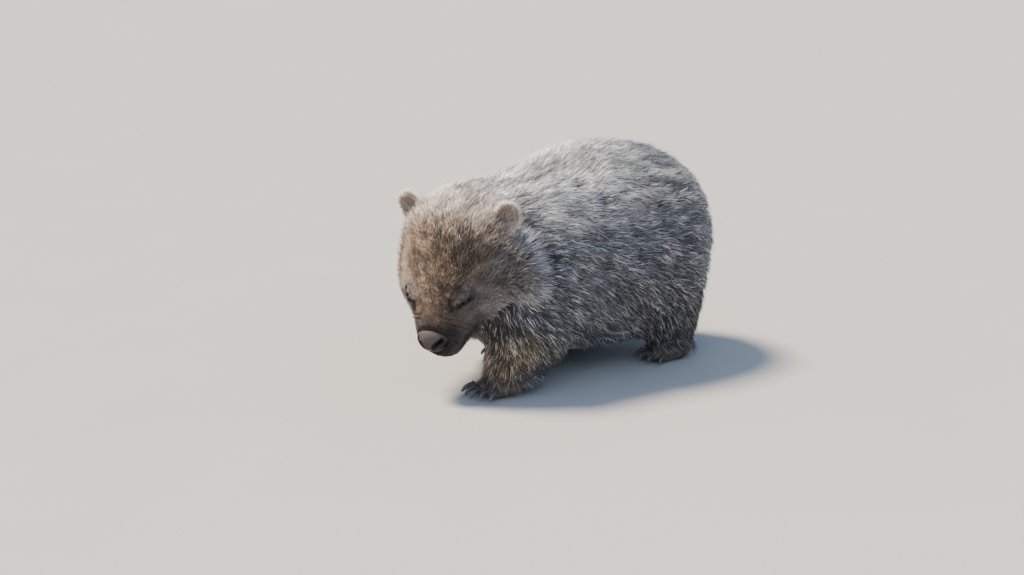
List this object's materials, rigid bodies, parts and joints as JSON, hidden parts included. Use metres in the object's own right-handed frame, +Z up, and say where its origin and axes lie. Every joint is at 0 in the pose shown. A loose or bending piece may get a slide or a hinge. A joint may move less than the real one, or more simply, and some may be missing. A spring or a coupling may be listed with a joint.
{
  "type": "wombat",
  "caption": "Life-size still model of a bare-nosed wombat in mid-stride, head lowered, with rounded back, small cupped ears, blunt bare nose, short legs and clawed paws.",
  "frame": {"origin": "on the floor, under the middle of the whole animal's box", "axes": "+Z up, -Y the way the animal faces, +X the animal's own left"},
  "size_m": [0.3076, 0.6288, 0.3718],
  "materials": {
    "coat_fur": "coarse grey-brown fur with pale tips and darker patches",
    "face_fur": "short warm brown fur, darker on the forehead",
    "ear_fur": "fine pale fur on the rim, dark inside the cup",
    "foot_fur": "very short dark brown fur",
    "nose_leather": "bare, finely pebbled dark skin",
    "claw": "worn blue-grey horn",
    "eye": "wet dark brown eye"
  },
  "bodies": {
    "root": {"torso": "coat_fur", "neck": "coat_fur", "head": "face_fur", "snout": "face_fur", "nose": "nose_leather", "tail": "coat_fur", "ear_left": "ear_fur", "ear_right": "ear_fur", "eye_left": "eye", "eye_right": "eye", "fore_leg_left": "coat_fur", "fore_paw_left": "foot_fur", "fore_leg_right": "coat_fur", "fore_paw_right": "foot_fur", "hind_leg_left": "coat_fur", "hind_paw_left": "foot_fur", "hind_leg_right": "coat_fur", "hind_paw_right": "foot_fur", "fore_claw_left_1": "claw", "fore_claw_left_2": "claw", "fore_claw_left_3": "claw", "fore_claw_left_4": "claw", "fore_claw_left_5": "claw", "fore_claw_right_1": "claw", "fore_claw_right_2": "claw", "fore_claw_right_3": "claw", "fore_claw_right_4": "claw", "fore_claw_right_5": "claw", "hind_claw_left_1": "claw", "hind_claw_left_2": "claw", "hind_claw_left_3": "claw", "hind_claw_left_4": "claw", "hind_claw_right_1": "claw", "hind_claw_right_2": "claw", "hind_claw_right_3": "claw", "hind_claw_right_4": "claw"}
  },
  "joints": []
}
